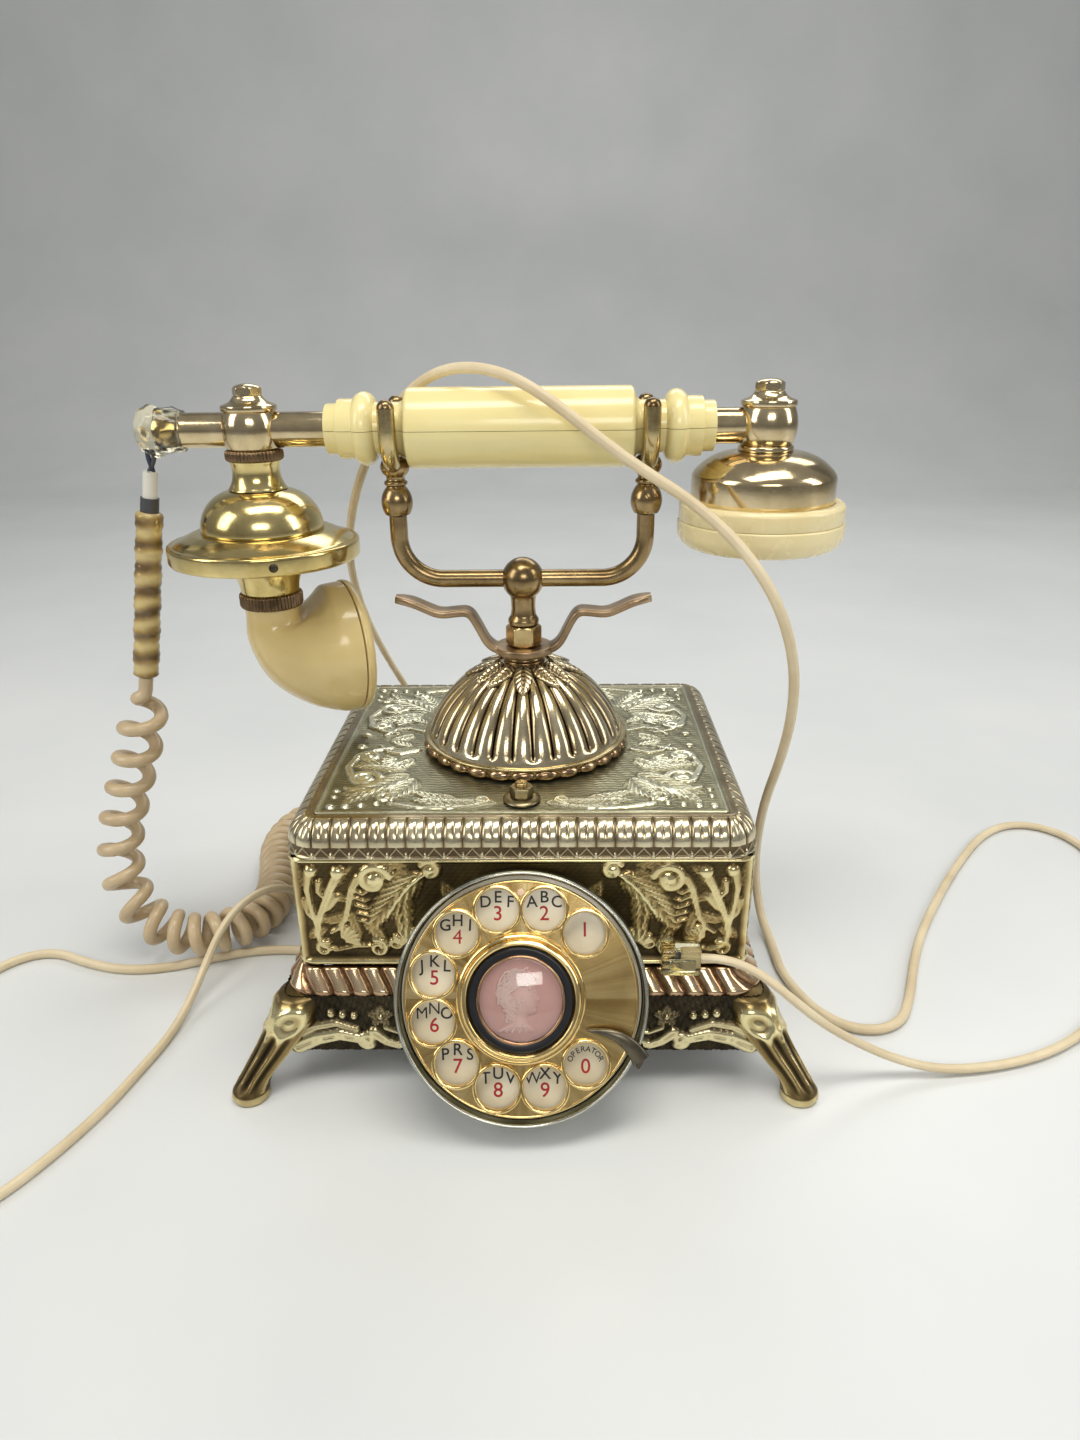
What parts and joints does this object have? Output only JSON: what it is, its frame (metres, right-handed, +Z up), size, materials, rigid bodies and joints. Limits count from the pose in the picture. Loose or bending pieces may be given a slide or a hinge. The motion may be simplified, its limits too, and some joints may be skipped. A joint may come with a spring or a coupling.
{
  "type": "rotary telephone",
  "caption": "Ornate cradle telephone with a rotary finger dial, a lift-off handset on a sprung cradle, a footed cast base, a curled handset cord and a line cord.",
  "frame": {"origin": "on the table, below the middle of the base", "axes": "+Z up, dial faces -Y, handset along X with the earpiece at +X"},
  "size_m": [0.5007, 0.2688, 0.233],
  "materials": {
    "antique_brass": "antique plated, dark in the recesses",
    "silvered_brass": "pale antique plate",
    "dark_bronze": "worn bronze lacquer",
    "rosy_brass": "polished",
    "dial_gold": "brushed gold",
    "cream_plastic": "moulded, glossy",
    "yellowed_plastic": "aged, slightly translucent",
    "dark_steel": "plain",
    "bell_metal": "plain",
    "black_plastic": "moulded",
    "number_enamel": "printed disc",
    "pink_cameo": "moulded relief",
    "clear_lens": "clear dome",
    "tan_cord": "aged jacket",
    "cream_cord": "flat ribbed jacket",
    "clear_plastic": "clear moulding",
    "cord_tape": "wound tape"
  },
  "bodies": {
    "root": {"base_casting": "antique_brass", "base_plate": "dark_steel", "base_screws": "dark_steel", "cord_grommets": "black_plastic", "lid_cover": "silvered_brass", "lid_bolts": "dark_steel", "dome_ring": "antique_brass", "dome_pedestal": "antique_brass", "dome_collar": "dark_bronze", "wing_bracket": "dark_bronze", "stem_nut": "dark_bronze", "number_plate": "number_enamel", "dial_cup": "dark_steel", "finger_stop": "dark_steel", "dial_movement": "dark_steel", "switch_strap": "dark_steel", "contact_stack": "black_plastic", "ringer_frame": "dark_steel", "gongs": "bell_metal", "circuit_blocks": "black_plastic", "curly_cord": "tan_cord", "line_cord_left": "cream_cord", "line_cord_drape": "cream_cord", "line_cord_right": "cream_cord", "modular_plug": "clear_plastic"},
    "cradle": {"cradle_stem": "dark_bronze", "cradle_yoke": "dark_bronze", "fork_sockets": "dark_bronze", "fork_left": "dark_bronze", "fork_right": "dark_bronze"},
    "handset": {"grip_upper": "cream_plastic", "grip_lower": "cream_plastic", "handset_tube": "rosy_brass", "mouth_knob": "rosy_brass", "ear_knob": "rosy_brass", "knob_caps": "rosy_brass", "finials": "rosy_brass", "knurled_rings": "rosy_brass", "mouth_neck": "rosy_brass", "mouth_bell": "rosy_brass", "mouth_flange": "rosy_brass", "flange_screws": "dark_steel", "mouth_cone": "rosy_brass", "mouth_horn": "yellowed_plastic", "mouth_cap": "yellowed_plastic", "ear_base_ring": "rosy_brass", "ear_bell": "rosy_brass", "ear_collar": "cream_plastic", "ear_cap": "cream_plastic", "voice_capsules": "black_plastic", "taped_cord_end": "cord_tape"},
    "dial_wheel": {"finger_wheel": "dial_gold", "hub_ring": "dial_gold", "dial_bezel": "black_plastic", "cameo_disc": "pink_cameo", "cameo_lens": "clear_lens", "dial_shaft": "dark_steel"},
    "governor": {"governor": "dark_steel"},
    "hook_lever": {"hook_lever": "dark_steel"},
    "clapper": {"clapper": "dark_steel"}
  },
  "joints": [
    {"name": "handset_lift", "type": "slide", "parent": "root", "child": "handset", "axis": [0, 0, 1], "range_m": [0, 0.08], "deforming": ["curly_cord", "line_cord_drape"]},
    {"name": "cradle_rise", "type": "slide", "parent": "root", "child": "cradle", "axis": [0, 0, 1], "range_m": [0, 0.005]},
    {"name": "hook_lever_pivot", "type": "hinge", "parent": "root", "child": "hook_lever", "pos_m": [0.019, 0, 0.0682], "axis": [0, 1, 0], "range_deg": [0, 12.7]},
    {"name": "dial_turn", "type": "hinge", "parent": "root", "child": "dial_wheel", "pos_m": [0, -0.087, 0.0455], "axis": [0, 0.9063, -0.4226], "range_deg": [0, 330]},
    {"name": "governor_spin", "type": "hinge", "parent": "root", "child": "governor", "pos_m": [0.0133, -0.06344, 0.03451], "axis": [0, 0.9063, -0.4226], "range_deg": [-1140, 10]},
    {"name": "clapper_swing", "type": "hinge", "parent": "root", "child": "clapper", "pos_m": [0, 0.054, 0.0416], "axis": [0, 0, 1], "range_deg": [-3, 3]}
  ],
  "couplings": [
    {"joint": "cradle_rise", "follows": "handset_lift", "ratio": 0.0625},
    {"joint": "hook_lever_pivot", "follows": "handset_lift", "rad_per_m": 2.75},
    {"joint": "governor_spin", "follows": "dial_turn", "ratio": -3.3333}
  ]
}
